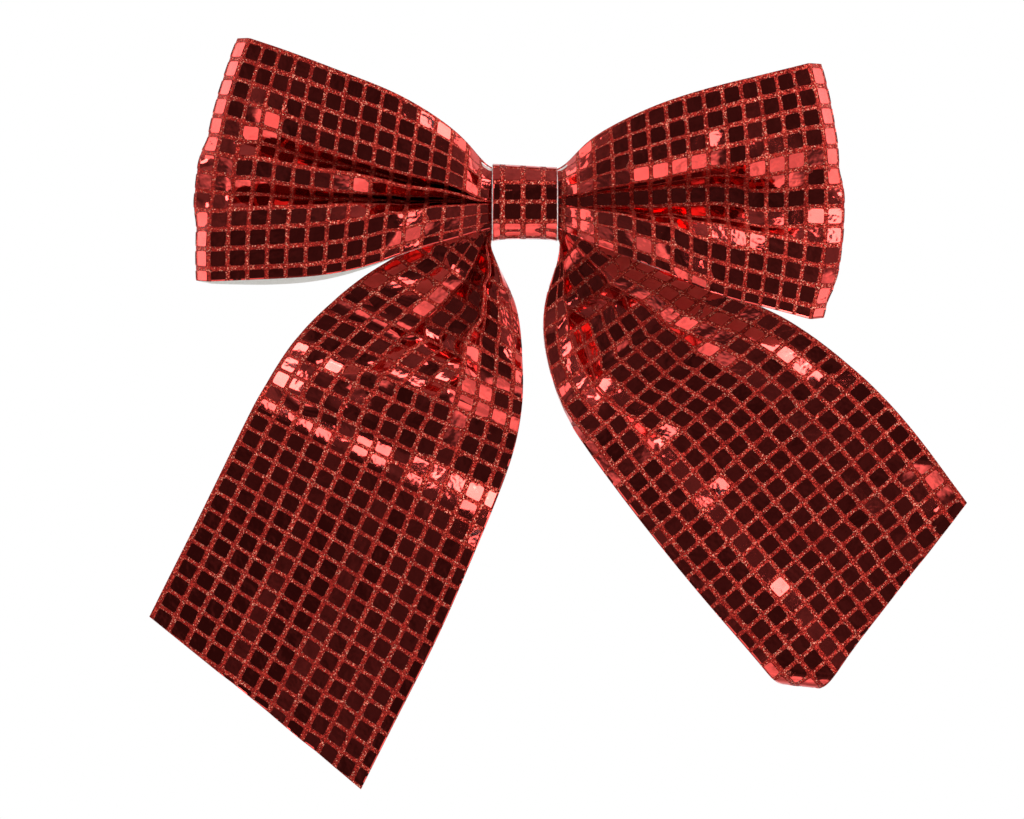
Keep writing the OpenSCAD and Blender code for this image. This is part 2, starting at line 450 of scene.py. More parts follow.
def tube_faces(rings, count, start=0, flip=False, capped=True):
    """Faces round a tube of rings of count points each, and across its ends if it is capped."""
    faces = []
    for i in range(rings - 1):
        for k in range(count):
            a, b = start + i * count + k, start + i * count + (k + 1) % count
            faces.append([a, b, b + count, a + count])
    if capped:
        last = start + (rings - 1) * count
        faces += [list(range(start, start + count))[::-1], list(range(last, last + count))]
    return [face[::-1] for face in faces] if flip else faces


def ribbon_object(name, strip, u_end, print_at, bevel):
    """The ribbon itself as a closed sheet: printed face, backing and raw edges.

    u_end(v) is where it is cut off, print_at the (u, v in mm) of the middle of one foil square,
    and bevel how far the printed face stops short of the long edges.
    """
    rows = len(strip.u)
    places = strip.places + 1
    line = np.linspace(0, 1, places)
    u = np.linspace(0, 1, rows)[:, None] * u_end(line)[None, :]
    v = np.broadcast_to(line, u.shape)
    inset = bevel / strip.width
    outer = strip.at(u, inset + v * (1 - 2 * inset), THICK / 2).reshape(-1, 3)
    inner = strip.at(u, v, -THICK / 2).reshape(-1, 3)
    count = rows * places
    flip = strip.face < 0
    faces = grid_faces(rows, places, 0, not flip) + grid_faces(rows, places, count, flip)
    printed = (rows - 1) * (places - 1)
    ends = ([(i * places, (i + 1) * places) for i in range(rows - 1)]
            + [((i + 1) * places + places - 1, (i + 1) * places - 1) for i in range(rows - 1)]
            + [((rows - 1) * places + j, (rows - 1) * places + j + 1) for j in range(places - 1)]
            + [(j + 1, j) for j in range(places - 1)])
    rim = [[a, b, b + count, a + count] for a, b in ends]
    if flip:
        rim = [quad[::-1] for quad in rim]
    uv = np.stack([(u.ravel() - print_at[0]) / PITCH_U + 0.5,
                   (v.ravel() * strip.width - print_at[1]) / PITCH_V + 0.5], axis=1)
    kinds = [0] * printed + [1] * printed + [2] * len(rim)
    return new_object(name, np.concatenate([outer, inner]), faces + rim,
                      [ground, backing, raw_edge], np.concatenate([uv, uv]), kinds, 80)


# One foil square: points along its side, how far out its corners reach, the spread of its random
# tilt, the mean and spread of its random dome, and how deep its rim is sunk into the ribbon
TILE_GRID = 7
TILE_CORNER = 0.93
TILE_TILT = 0.03
TILE_DOME = (0.008, 0.02)
TILE_SUNK = 0.02

# Cut squares: how far they stay from the ribbon's long edges, start and end, and the least
# length and width that isn't left out
EDGE_MARGIN = 0.1
START_MARGIN = 0.4
END_MARGIN = 0.15
LEAST_LENGTH = 0.9
LEAST_WIDTH = 0.7

# How much of its bend a square loses, and the bend (mm) past which it soon keeps it instead
FLATTENED = 0.85
KEPT_BEND = 0.45


def tile_outline():
    """Places of one tile's grid, from -1 to 1, with its corners pulled in."""
    line = np.linspace(-1, 1, TILE_GRID)
    across, along = np.meshgrid(line, line, indexing="ij")
    corner = (np.abs(across) == 1) & (np.abs(along) == 1)
    pull = np.where(corner, TILE_CORNER, 1.0)
    return across * pull, along * pull


def tile_rim():
    """Grid places round a tile's edge, in order."""
    last = TILE_GRID - 1
    return ([(0, j) for j in range(last)] + [(i, last) for i in range(last)]
            + [(last, j) for j in range(last, 0, -1)] + [(i, 0) for i in range(last, 0, -1)])


def flattened(points):
    """A square's points moved towards its own mean plane, and less the more it is bent."""
    flat = points.reshape(-1, 3)
    middle = flat.mean(axis=0)
    normal = np.linalg.svd(flat - middle)[2][2]
    off = (points - middle) @ normal
    share = FLATTENED * math.exp(-(np.abs(off).max() / KEPT_BEND) ** 2)
    return points - (share * off)[..., None] * normal


def tiles_object(name, strip, u_end, print_at, bevel):
    """The raised foil squares of a ribbon, as one mesh. The cut ones stop at its edges."""
    grid_u, grid_v = tile_outline()
    ring = [i * TILE_GRID + j for i, j in tile_rim()]
    points, faces, uvs = [], [], []
    base = 0
    first = int(math.floor(-print_at[0] / PITCH_U))
    last = int(math.ceil((strip.u[-1] - print_at[0]) / PITCH_U))
    low_row = int(math.floor(-print_at[1] / PITCH_V))
    high_row = int(math.ceil((strip.width - print_at[1]) / PITCH_V))
    margin = bevel + EDGE_MARGIN
    for column in range(first, last + 1):
        for row in range(low_row, high_row + 1):
            tilt = rng.normal(0, TILE_TILT, 2)
            dome = rng.normal(*TILE_DOME)
            u = print_at[0] + column * PITCH_U + grid_u * TILE_U / 2
            across = print_at[1] + row * PITCH_V + grid_v * TILE_V / 2
            across = np.clip(across, margin, strip.width - margin)
            v = across / strip.width
            u = np.clip(u, START_MARGIN, u_end(v) - END_MARGIN)
            if np.ptp(u) < LEAST_LENGTH or np.ptp(across) < LEAST_WIDTH:
                continue
            lift = (THICK / 2 + TILE_LIFT + tilt[0] * grid_u + tilt[1] * grid_v
                    + dome * (1 - grid_u ** 2) * (1 - grid_v ** 2) * 2)
            top = flattened(strip.at(u, v, lift)).reshape(-1, 3)
            foot = strip.at(u, v, THICK / 2 - TILE_SUNK).reshape(-1, 3)
            place = np.stack([u.ravel() / PITCH_U, across.ravel() / PITCH_V], axis=1)
            points += [top, top[ring], foot[ring]]
            uvs += [place, place[ring], place[ring]]
            faces += grid_faces(TILE_GRID, TILE_GRID, base, strip.face > 0)
            base += TILE_GRID ** 2
            faces += tube_faces(2, len(ring), base, strip.face < 0, capped=False)
            base += 2 * len(ring)
    return new_object(name, np.concatenate(points), faces, [foil], np.concatenate(uvs))


def printed_ribbon(name, strip, print_at, u_end=None, bevel=0.0):
    """A ribbon and its foil squares. Without u_end they stop at the strip's own end."""
    u_end = u_end or (lambda v: np.full(np.shape(v), strip.u[-1]))
    return (ribbon_object(f"{name}_ribbon", strip, u_end, print_at, bevel),
            tiles_object(f"{name}_foil", strip, u_end, print_at, bevel))


# -------- materials

class Nodes:
    """Small helper that adds nodes to a node tree and links them."""

    def __init__(self, tree, coordinates):
        self.tree = tree
        self.place = self.node("TexCoord").outputs[coordinates]

    def node(self, kind, inputs=None, **settings):
        made = self.tree.nodes.new("ShaderNode" + kind)
        for key, value in settings.items():
            setattr(made, key, value)
        for key, value in (inputs or {}).items():
            self.put(made.inputs[key], value)
        return made

    def put(self, socket, value):
        if isinstance(value, bpy.types.NodeSocket):
            self.tree.links.new(value, socket)
        else:
            socket.default_value = value

    def math(self, operation, a, b=0.0):
        return self.node("Math", {0: a, 1: b}, operation=operation).outputs[0]

    def noise(self, scale, detail, **inputs):
        inputs = {"Vector": self.place, "Scale": scale, "Detail": detail, **inputs}
        return self.node("TexNoise", inputs).outputs[0]

    def mapped(self, value, low, high, to_low=0.0, to_high=1.0):
        """value from the range low to high, put in the range to_low to to_high and kept there."""
        inputs = {0: value, 1: low, 2: high, 3: to_low, 4: to_high}
        return self.node("MapRange", inputs).outputs[0]

    def ramp(self, value, stops):
        """A colour ramp. A stop is a place and a colour, or a place and a grey level."""
        made = self.node("ValToRGB", {0: value})
        ramp = made.color_ramp
        while len(ramp.elements) < len(stops):
            ramp.elements.new(0.5)
        for element, (position, colour) in zip(ramp.elements, stops):
            element.position = position
            element.color = (*np.broadcast_to(colour, 3), 1)
        return made.outputs[0]


class Shader(Nodes):
    """A new material, with textures placed by the strip's own coordinates."""

    def __init__(self, name):
        self.material = bpy.data.materials.new(name)
        self.material.use_nodes = True
        self.surface = self.material.node_tree.nodes["Principled BSDF"]
        super().__init__(self.material.node_tree, "UV")

    def flakes(self, scale):
        inputs = {"Vector": self.place, "Scale": scale}
        return self.node("TexVoronoi", inputs, voronoi_dimensions="2D").outputs["Color"]

    def mix(self, share, a, b, blend_type="MIX"):
        made = self.node("Mix", {0: share, 6: a, 7: b}, data_type="RGBA",
                         blend_type=blend_type)
        return made.outputs[2]

    def vector(self, operation, a, b=(0.0, 0.0, 0.0), **inputs):
        inputs = {0: a, 1: b, **inputs}
        return self.node("VectorMath", inputs, operation=operation).outputs[0]

    def bump(self, height, strength, distance):
        inputs = {"Height": height, "Strength": strength, "Distance": distance}
        return self.node("Bump", inputs).outputs[0]

    def set(self, **values):
        for key, value in values.items():
            self.put(self.surface.inputs[key.replace("_", " ")], value)
        return self.material


def foil_material():
    """Red mirror foil under a clear film, with faint waves and a little scuffing."""
    s = Shader("foil_square")
    waves = s.noise(1.3, 2.0)
    height = s.math("ADD", waves, s.math("MULTIPLY", s.noise(5.0, 3.0), 0.06))
    rough = s.mapped(s.noise(22.0, 4.0), 0.35, 0.8, 0.05, 0.13)
    tone = s.ramp(waves, [(0.3, (0.74, 0.070, 0.060)), (0.7, (0.82, 0.085, 0.070))])
    s.set(Base_Color=tone, Metallic=1.0, Roughness=rough, Normal=s.bump(height, 0.5, 0.00045))
    return s.set(Coat_Weight=0.15, Coat_Roughness=0.06)


def outside_squares(s):
    """Distance outside the nearest foil square, in pitches."""
    split = s.node("SeparateXYZ", {0: s.place})
    away = []
    for axis, half in ((0, TILE_U / PITCH_U / 2), (1, TILE_V / PITCH_V / 2)):
        inside = s.math("FRACT", split.outputs[axis])
        offset = s.math("ABSOLUTE", s.math("SUBTRACT", inside, 0.5))
        away.append(s.math("SUBTRACT", offset, half))
    return s.math("MAXIMUM", *away)


def ground_material():
    """Fine red glitter between the squares, with painted shade in a thin dark line round each
    square.

    Every flake has its own colour and lies at its own angle. The palest flakes are painted glints.
    """
    s = Shader("glitter_ground")
    flakes = s.flakes(21.0)
    pick = s.node("SeparateColor", {0: flakes})
    pick_grain = s.node("SeparateColor", {0: s.flakes(40.0)})
    # The flakes' colours vary at random as real tone, and the palest pink ones are painted glints.
    colour = s.ramp(pick.outputs[0], [
        (0.0, (0.12, 0.005, 0.004)), (0.4, (0.37, 0.016, 0.010)),
        (0.78, (0.56, 0.032, 0.021)), (0.9, (0.74, 0.095, 0.056)), (1.0, (1.0, 0.44, 0.30))])
    fine = s.ramp(pick_grain.outputs[1], [
        (0.0, (0.55, 0.5, 0.5)), (0.6, (1.0, 1.0, 1.0)), (1.0, (1.35, 1.3, 1.3))])
    mottle = s.ramp(s.noise(3.0, 3.0), [(0.3, 0.85), (0.7, 1.1)])
    for layer in (fine, mottle):
        colour = s.mix(1.0, colour, layer, "MULTIPLY")
    # Painted shade: the ground is darkened in a thin line just outside each foil square.
    line = s.mapped(outside_squares(s), 0.012, 0.055, 0.45, 0.0)
    colour = s.mix(line, colour, (0.09, 0.006, 0.006, 1))
    centred = s.vector("SUBTRACT", flakes, (0.5, 0.5, 0.5))
    spread = s.vector("SCALE", centred, Scale=0.9)
    geometry = s.node("NewGeometry")
    normal = s.vector("NORMALIZE", s.vector("ADD", geometry.outputs["Normal"], spread))
    rough = s.mapped(pick.outputs[2], 0, 1, 0.28, 0.6)
    s.set(Base_Color=colour, Metallic=0.6, Roughness=rough, Normal=normal)
    return s.set(Specular_IOR_Level=0.2)


def backing_material():
    """White non-woven backing: a faint fibre mottle, nearly matt."""
    s = Shader("white_backing")
    fibres = s.noise(14.0, 5.0, Distortion=1.5)
    tone = s.ramp(fibres, [(0.3, (0.80, 0.785, 0.74)), (0.7, (0.90, 0.89, 0.86))])
    return s.set(Base_Color=tone, Roughness=0.7, Normal=s.bump(fibres, 0.25, 0.0001))


def edge_material():
    """Cut edge of the ribbon, white with a trace of red from the face."""
    s = Shader("cut_edge")
    tone = s.ramp(s.noise(9.0, 3.0), [(0.35, (0.52, 0.40, 0.38)), (0.6, (0.80, 0.77, 0.75))])
    return s.set(Base_Color=tone, Roughness=0.65)


def steel_material():
    """Drawn steel wire: fine lines along it and a trace of oil."""
    s = Shader("drawn_steel")
    drawn = s.node("Mapping", {"Vector": s.place, "Scale": (0.25, 14.0, 1.0)})
    lines = s.noise(3.0, 4.0, Vector=drawn.outputs[0])
    tone = s.ramp(lines, [(0.3, (0.42, 0.41, 0.40)), (0.7, (0.62, 0.61, 0.59))])
    return s.set(Base_Color=tone, Metallic=1.0, Roughness=s.mapped(lines, 0, 1, 0.22, 0.42))


def glue_material():
    """Hot-melt glue: cloudy ivory, soft to light."""
    s = Shader("hot_melt")
    cloud = s.noise(3.0, 3.0)
    tone = s.ramp(cloud, [(0.3, (0.78, 0.70, 0.52)), (0.7, (0.88, 0.82, 0.68))])
    s.set(Base_Color=tone, Roughness=0.35, Normal=s.bump(cloud, 0.3, 0.0002))
    return s.set(Subsurface_Weight=0.3, Subsurface_Scale=0.001)


def plastic_material():
    """White film of the tie's sleeve, faintly scuffed."""
    s = Shader("tie_film")
    scuffs = s.noise(6.0, 5.0)
    tone = s.ramp(scuffs, [(0.3, (0.78, 0.78, 0.77)), (0.7, (0.88, 0.88, 0.87))])
    return s.set(Base_Color=tone, Roughness=s.mapped(scuffs, 0, 1, 0.18, 0.36))


foil = foil_material()
steel = steel_material()
glue = glue_material()
tie_plastic = plastic_material()
ground = ground_material()
backing = backing_material()
raw_edge = edge_material()


# -------- camera, stage, light

# What the camera sees at the knot's front: its width, and the X and Z of its middle
VIEW_WIDTH = 395.3
VIEW_MIDDLE = (-5.0, -80.1)
CAMERA_AWAY = 1250.0
SENSOR = 36.0

FLOOR_Z = -420
FLOOR_HALF = 6000
WHITE = (1, 1, 1, 1)

# Softboxes: place and size in metres, and power in watts
SOFTBOXES = {
    "softbox_left": ((-1.15, 0.06, 0.16), (1.0, 0.9), 5.1),
    "softbox_right": ((1.15, -0.02, 0.10), (1.0, 0.9), 5.1),
    "softbox_upper_left": ((-1.05, -0.53, 0.56), (0.35, 0.35), 2.4),
    "softbox_upper_right": ((0.85, -0.50, 0.82), (0.5, 0.5), 4.9),
    "softbox_top": ((0.44, -0.6, 0.94), (0.42, 0.22), 1.5),
    "softbox_front_top": ((0.24, -0.92, 0.61), (0.3, 0.3), 1.1),
    "softbox_front_right": ((0.735, -0.85, 0.56), (0.36, 0.36), 2.1),
}
LIGHTS_AIM = Vector((0, 0, -0.06))


def make_camera():
    """Long lens, level with the bow, framed on its loops and tails."""
    data = bpy.data.cameras.new("camera")
    data.lens = SENSOR * CAMERA_AWAY / VIEW_WIDTH
    data.sensor_width = SENSOR
    data.clip_end = 20
    camera = placed("camera", data)
    camera.location = Vector((VIEW_MIDDLE[0], KNOT_FRONT - CAMERA_AWAY, VIEW_MIDDLE[1])) * MM
    camera.rotation_euler = (math.radians(90), 0, 0)
    bpy.context.scene.camera = camera


def make_world():
    """White to the eye, a soft even light for matt surfaces, and a studio for the foil.

    The studio is a dim room, darkest in front, round the camera, and pale behind the bow. A
    bright table stands low in front.
    """
    world = bpy.data.worlds.new("studio")
    bpy.context.scene.world = world
    world.use_nodes = True
    world.node_tree.nodes.clear()
    s = Nodes(world.node_tree, "Generated")
    split = s.node("SeparateXYZ", {0: s.place})
    behind = s.mapped(split.outputs[1], -1, 1)
    height = s.mapped(split.outputs[2], -1, 1)
    room = s.ramp(behind, [(0.0, 0.045), (0.05, 0.052), (0.12, 0.09), (0.20, 0.15), (0.40, 0.26),
                           (0.62, 0.38), (0.80, 0.75), (1.0, 1.0)])
    below = s.ramp(height, [(0.0, 1.0), (0.28, 1.0), (0.42, 0.0), (1.0, 0.0)])
    ahead = s.ramp(behind, [(0.0, 0.0), (0.12, 0.0), (0.16, 1.0), (0.42, 0.9), (0.60, 0.0),
                            (1.0, 0.0)])
    clutter = s.mapped(s.noise(4.5, 2.0), 0.34, 0.64, 0.6, 1.4)
    strength = s.math("ADD", s.math("MULTIPLY", below, ahead), room)
    strength = s.math("MULTIPLY", strength, clutter)
    studio, soft, white = (s.node("Background", {0: WHITE, 1: level}).outputs[0]
                           for level in (strength, 0.9, 1.0))
    ray = s.node("LightPath")
    lit = s.node("MixShader", {0: ray.outputs["Is Diffuse Ray"], 1: studio, 2: soft})
    seen = s.node("MixShader", {0: ray.outputs["Is Camera Ray"], 1: lit.outputs[0],
                                          2: white})
    s.node("OutputWorld", {0: seen.outputs[0]})


def make_softbox(name, place, size, power):
    data = bpy.data.lights.new(name, "AREA")
    data.shape = "RECTANGLE"
    data.size, data.size_y = size
    data.energy = power
    light = placed(name, data)
    light.location = place
    light.rotation_euler = (LIGHTS_AIM - Vector(place)).to_track_quat("-Z", "Y").to_euler()
    light.visible_camera = False


def make_stage():
    """Plain white floor well below the bow."""
    s = Shader("floor_white")
    s.tree.nodes.clear()
    glow = s.node("Emission")
    s.node("OutputMaterial", {0: glow.outputs[0]})
    corners = [(-1, -1), (1, -1), (1, 1), (-1, 1)]
    points = [(x * FLOOR_HALF, y * FLOOR_HALF, FLOOR_Z) for x, y in corners]
    floor = new_object("floor", points, [[0, 1, 2, 3]], [s.material])
    floor.visible_glossy = floor.visible_diffuse = floor.visible_shadow = False


bpy.context.scene.view_settings.view_transform = "Standard"
make_camera()
make_world()
make_stage()
for name, settings in SOFTBOXES.items():
    make_softbox(name, *settings)


# -------- loops

# Stations of each layer of a loop: u, upper edge X Z, lower edge X Z, middle Y
LEFT_FRONT = [
    (0, (0, 11.5), (0, -9.5), -13.6),
    (13, (-12.7, 13.8), (-12.7, -10), -14),
    (26, (-22.4, 22.7), (-25.2, -13.6), -18.4),
    (41, (-33.8, 32), (-40, -18), -22.4),
    (60, (-50, 41.2), (-57.8, -24.4), -25.4),
    (80, (-68.5, 48.7), (-78, -28.7), -26.5),
    (100, (-87.2, 55.9), (-99, -30.2), -26),
    (121, (-105.5, 62.4), (-121.2, -31), -23.5),
]
LEFT_BACK = [
    (0, (0, 11.5), (0, -9.5), -10.9),
    (13, (-12.7, 13), (-12.7, -9.6), -10.9),
    (26, (-22.8, 21.6), (-25, -12.6), -11),
    (41, (-34.2, 30.8), (-39.6, -16.8), -11.2),
    (60, (-50.4, 40.2), (-57.2, -23.8), -11.4),
    (80, (-68.8, 47.8), (-78, -29.8), -11.4),
    (100, (-87.4, 55.2), (-99.5, -31.7), -11.2),
    (121, (-105.2, 61.8), (-121, -31.4), -11.2),
]
RIGHT_FRONT = [
    (0, (0, 11), (0, -9.5), -13.6),
    (13, (12.8, 13.3), (12.7, -10), -14),
    (27, (23.6, 22.2), (24.6, -15.6), -18.6),
    (41, (35.4, 29.6), (37.7, -21), -22.4),
    (60, (52.5, 37.1), (55.2, -28.2), -25.4),
    (80, (71.6, 43.1), (73.4, -36), -26.5),
    (100, (90.9, 48.1), (91.8, -41), -26),
    (119, (108.6, 52.8), (109.4, -45.4), -23.5),
]
RIGHT_BACK = [
    (0, (0, 11), (0, -9.5), -10.9),
    (13, (12.8, 12.6), (12.7, -9.6), -10.9),
    (27, (23.8, 21), (24.6, -13.4), -11),
    (41, (35.6, 28.4), (37.5, -18.4), -11.2),
    (60, (52.6, 36), (55, -25.4), -11.4),
    (80, (71.8, 42.4), (73.2, -35.2), -11.4),
    (100, (91, 48.2), (91.6, -40.2), -11.2),
    (119, (108.6, 53.2), (109.4, -44.2), -11.2),
]

# Leans of the walls under the rows of squares, at the first places of WALLS_AT
LEFT_WALLS = {
    1: (0.3, 0.08, 0), 2: (0.2, 0.02, 0),
    5: (-0.9, -0.9, -0.72, -0.3), 6: (0.9, 0.9, 0.72, 0.3), 7: (-0.9, -0.55, -0.1, -0.3),
    8: (-1, -1, -0.85, -0.3), 9: (1, 1, 0.85, 0.3), 10: (0.9, 0.55, 0.1, 0.3),
}
RIGHT_WALLS = {
    1: (0.3, 0.05, 0), 2: (0.2, 0.03, 0),
    4: (-0.2, -0.16, 0), 5: (-1, -1, -0.7, -0.3), 6: (-0.9, -0.9, -0.5, -0.2),
    8: (0.6, 0.55, 0.4, 0.2), 9: (1, 1, 0.7, 0.3), 10: (0.8, 0.6, 0.2, 0),
    12: (-0.05, 0), 13: (-0.2, -0.05, 0),
}
BACK_WALLS = {
    1: (0.8, 0.7, 0.4), 2: (0.8, 0.7, 0.4), 3: (-0.8, -0.6, -0.3), 4: (-0.8, -0.6, -0.3),
    5: (0.5, 0.3, 0.2), 6: (0.8, 0.6, 0.4), 7: (-0.8, -0.6, -0.4), 8: (-0.4, -0.3, -0.2),
    9: (0.8, 0.7, 0.5), 10: (0.8, 0.7, 0.4), 11: (-0.8, -0.7, -0.4), 12: (-0.8, -0.6, -0.4),
}

# Lasting kinks that tilt single squares: from u, to u, row of squares at each, degrees
LEFT_LEANS = [(43, 51, 12, 12, -27), (102, 108, 4, 4, -28)]
RIGHT_LEANS = [(48, 78, 4, 4, -27), (96, 106, 5, 5, -27), (48, 56, 12, 12, -27),
               (66, 74, 13, 13, -26)]

# Gathers near the knot: how many, how far they lean, the length over which they fade, and phase
FRONT_GATHERS = (4, 0.1, 22, 0.4)
BACK_GATHERS = (4, 0.6, 30, 2.0)
BACK_DEPTH = 0.5

# The changing Y that the front of a loop stays in front of, and that its back stays behind
FRONT_LIMIT = (-12.8, -14.0, WRAP_X + 14, 40)
BACK_LIMIT = (-12.0, -12.6, WRAP_X + 14, 40)


def make_loop(side, front, back, walls, leans, bulge, outward, sharp, seed):
    """One loop: its strip goes out along the front, round the fold, and back behind.

    bulge is how far its end bows out in the direction outward, and sharp the rows of squares
    that turn sharply there. It gives back the ribbon, its squares and the strip's length.
    """
    near = tucked(face_rows(front, walls, FRONT_GATHERS, 1, bulge, outward, leans, seed=seed,
                            limit=FRONT_LIMIT))
    far = face_rows(back, BACK_WALLS, BACK_GATHERS, -1, bulge, outward, depth=BACK_DEPTH,
                    seed=seed + 5, limit=BACK_LIMIT)
    grid = np.concatenate([near, fold_rows(near[-1], far[-1], outward, sharp), far[::-1]])
    strip = Strip(grid, 1 if outward[0] < 0 else -1)
    fold_u = strip.u[len(near) - 1]
    print_at = ((fold_u - PITCH_U / 2) % PITCH_U, PRINT_V)
    return *printed_ribbon(f"{side}_loop", strip, print_at), float(strip.u[-1])


left_loop = make_loop("left", LEFT_FRONT, LEFT_BACK, LEFT_WALLS, LEFT_LEANS,
                      bulge=5.2, outward=(-0.99, 0.15), sharp=(7, 9), seed=1)
right_loop = make_loop("right", RIGHT_FRONT, RIGHT_BACK, RIGHT_WALLS, RIGHT_LEANS,
                       bulge=7.0, outward=(1.0, 0.02), sharp=(7, 11), seed=2)


# -------- tails

# Stations of each tail: u, outer edge X Z, inner edge X Z, middle Y
LEFT_TAIL = [
    (0, (0, -3), (0, -11), -7.3),
    (13, (-13, -5), (-12.5, -12.8), -7),
    (35, (-33.2, -12.4), (-6, -33.5), -6.5),
    (62, (-56.8, -24.6), (-1.2, -58.3), -8),
    (93, (-83.5, -46.5), (-1.5, -82), -9),
    (112, (-95.5, -61.5), (-6, -101.5), -8.5),
    (134, (-107.3, -83), (-17.4, -130.5), -8),
    (165, (-121.5, -112), (-32.4, -165.2), -7),
    (200, (-137.4, -143.5), (-50, -200.5), -4),
    (230, (-151, -170.5), (-64.5, -229.3), -2),
]
RIGHT_TAIL = [
    (0, (0, -3), (0, -11), -7.3),
    (13, (13, -5), (12.5, -12.8), -7),
    (35, (33, -15), (9, -35), -7),
    (56, (52.5, -24.5), (8.1, -56.5), -8.5),
    (84, (78, -35), (16.8, -83.2), -10.5),
    (107, (99, -43.8), (29.4, -102.8), -9.5),
    (138, (126.3, -63), (49, -128.5), -7),
    (170, (149, -86), (69.5, -153.6), -5.5),
    (207, (171.5, -115.8), (93.8, -182), -5),
    (230, (185.5, -134), (108, -199.5), -5),
]

# Kinks, creases and walls of the tails, in the forms that the loops and crease_step use
LEFT_TAIL_LEANS = [
    (103, 118, 1, 1, 33), (112, 119, 2, 2, 31), (46, 68, 4, 4, -27), (44, 54, 3, 3, 33),
    (84, 100, 5, 5, 33), (104, 112, 4, 5, 33), (74, 84, 7, 7, 31), (88, 98, 8, 8, 33),
    (86, 98, 11, 11, -28), (44, 80, 13, 13, -28), (46, 60, 12, 12, -28),
]
RIGHT_TAIL_LEANS = [
    (50, 84, 3, 3, -27), (88, 132, 2, 2, 24), (60, 84, 10, 11, 33), (56, 70, 9, 9, 33),
    (56, 76, 12, 12, -27), (188, 200, 1, 1, -26),
]
LEFT_TAIL_CREASES = [(122.4, 6.3, 3.4, 3.9, 1), (113, 22, 1.6, 2, 1), (130, 7.5, 0, 3.4, 5)]
RIGHT_TAIL_CREASES = [(139, 6.5, 1.9, 2.3, 1)]
LEFT_TAIL_WALLS = {
    1: (0.6, 0.15, 0), 4: (-0.3, -0.15, 0), 5: (-1, -1, -0.3), 6: (-0.7, -0.3, 0),
    7: (0.3, 0), 8: (0.9, 0.8, 0.2), 9: (1, 1, 0.6), 10: (-0.7, -0.5, -0.3),
    11: (0.4, 0.2, 0.1), 12: (-0.5, -0.15, 0), 13: (-0.8, -0.3, -0.1),
}
RIGHT_TAIL_WALLS = {
    1: (0.6, 0.25, 0.1), 2: (0.1, 0), 3: (-0.2, -0.1, 0), 4: (-1, -0.9, -0.3),
    5: (-1, -0.4, -0.1), 8: (0.7, 0), 9: (1, 0.6, 0.2), 10: (1, 1, 0.4),
    11: (0.5, 0.3, 0.1), 12: (-0.3, 0), 13: (-1, -0.9, -0.3),
}

TAIL_GATHERS = (4, 0.3, 20, 1.0)

# The changing Y that the gathers of a tail stay behind, which is the back of the loops, and the
# one that it stays in front of, so the bow lies flat against what it hangs on
TAIL_BEHIND = (-9.4, -20.0, 40, 25)
TAIL_BEFORE = (-1.6, 2.5, WRAP_X, 15)

# The right tail's lower corner curls back: a point on the crease, X and Z of the direction past
# it, and the radius
CURLED_CORNER = ((104.0, -181.5), (-0.1, -1.0), 6.0)


def make_tail(side, stations, walls, face, leans, creases, cut, square_u, seed, corner=None):
    """One tail, from the middle of the knot to its cut end.

    cut is u at the outer edge and the inner edge, and square_u is u at the middle of one column
    of squares. face is -1 where the normals of its grid point to the back, and else 1. It gives
    back the ribbon, its squares and its mean length.
    """
    grid = face_rows(stations, walls, TAIL_GATHERS, 1, 0, (0, 0), leans, creases, seed=seed)
    us = rows_of(stations)[0]
    grid[..., 1] = -soft_limit(-grid[..., 1], -changed(us, *TAIL_BEHIND)[:, None])
    grid[..., 1] = soft_limit(grid[..., 1], changed(us, *TAIL_BEFORE)[:, None])
    if corner:
        grid = curl(grid, *corner)
    strip = Strip(grid, face)
    stretch = strip.u[-1] / stations[-1][0]

    def end(v):
        return blend(*cut, np.asarray(v)) * stretch

    print_at = (float(np.interp(square_u, us, strip.u)) % PITCH_U, PRINT_V)
    pieces = printed_ribbon(f"{side}_tail", strip, print_at, end)
    return *pieces, float(end(np.linspace(0, 1, 11)).mean())


left_tail = make_tail("left", LEFT_TAIL, LEFT_TAIL_WALLS, 1, LEFT_TAIL_LEANS, LEFT_TAIL_CREASES,
                      cut=(219, 228), square_u=123.15, seed=3)
right_tail = make_tail("right", RIGHT_TAIL, RIGHT_TAIL_WALLS, -1, RIGHT_TAIL_LEANS,
                       RIGHT_TAIL_CREASES, cut=(208, 230), square_u=141.15, seed=4,
                       corner=CURLED_CORNER)


# -------- wrap

# The wrap from the side, Y and Z of its outer face, from the end under the lap, over the top,
# down the front and up the back to its glued end
WRAP_SIDE = [(-1.5, 4.5), (-1.5, 9.0), (-2.4, 12.2), (-4.6, 14.0), (-8.0, 14.5), (-11.4, 12.9),
             (-14.0, 10.4), (-16.2, 7.4), (-17.1, 4.0), (-17.2, 0.0), (-17.15, -4.6), (-16.8, -8.2),
             (-15.0, -11.2), (-12.4, -13.2), (-9.2, -13.9), (-5.6, -13.5), (-2.7, -11.4),
             (-1.4, -8.0), (-0.7, -4.5), (-0.45, -1.0), (-0.4, 3.0), (-0.4, 6.5)]
WRAP_ROWS = 150
WRAP_PLACES = 28

# How far the band's top is off level at each side, and how far its foot is bent
WRAP_LEAN = 0.7
WRAP_DROOP = 0.9


def make_wrap():
    """The strip of the centre band, higher at its left, and the curve of its side."""
    corners = np.array(WRAP_SIDE)
    along = lengths(corners)
    side = spline(along, corners, np.linspace(0, along[-1], WRAP_ROWS))
    x = np.linspace(-WRAP_X, WRAP_X, WRAP_PLACES + 1)
    lean = x / WRAP_X
    grid = np.zeros((WRAP_ROWS, WRAP_PLACES + 1, 3))
    for i, (y, z) in enumerate(side):
        top = ease((z - 4) / 9)
        foot = ease((-z - 8) / 6)
        grid[i, :, 0] = x
        grid[i, :, 1] = y
        grid[i, :, 2] = z - top * WRAP_LEAN * lean + foot * WRAP_DROOP * (0.3 - lean ** 4)
    return Strip(grid, 1, 2 * WRAP_X), side


wrap_strip, wrap_side = make_wrap()


def wrap_u_at(height):
    """u of the wrap where its front face is at this height."""
    front = wrap_side[:, 0] < -12
    return float(np.interp(-height, -wrap_side[front, 1], wrap_strip.u[front]))


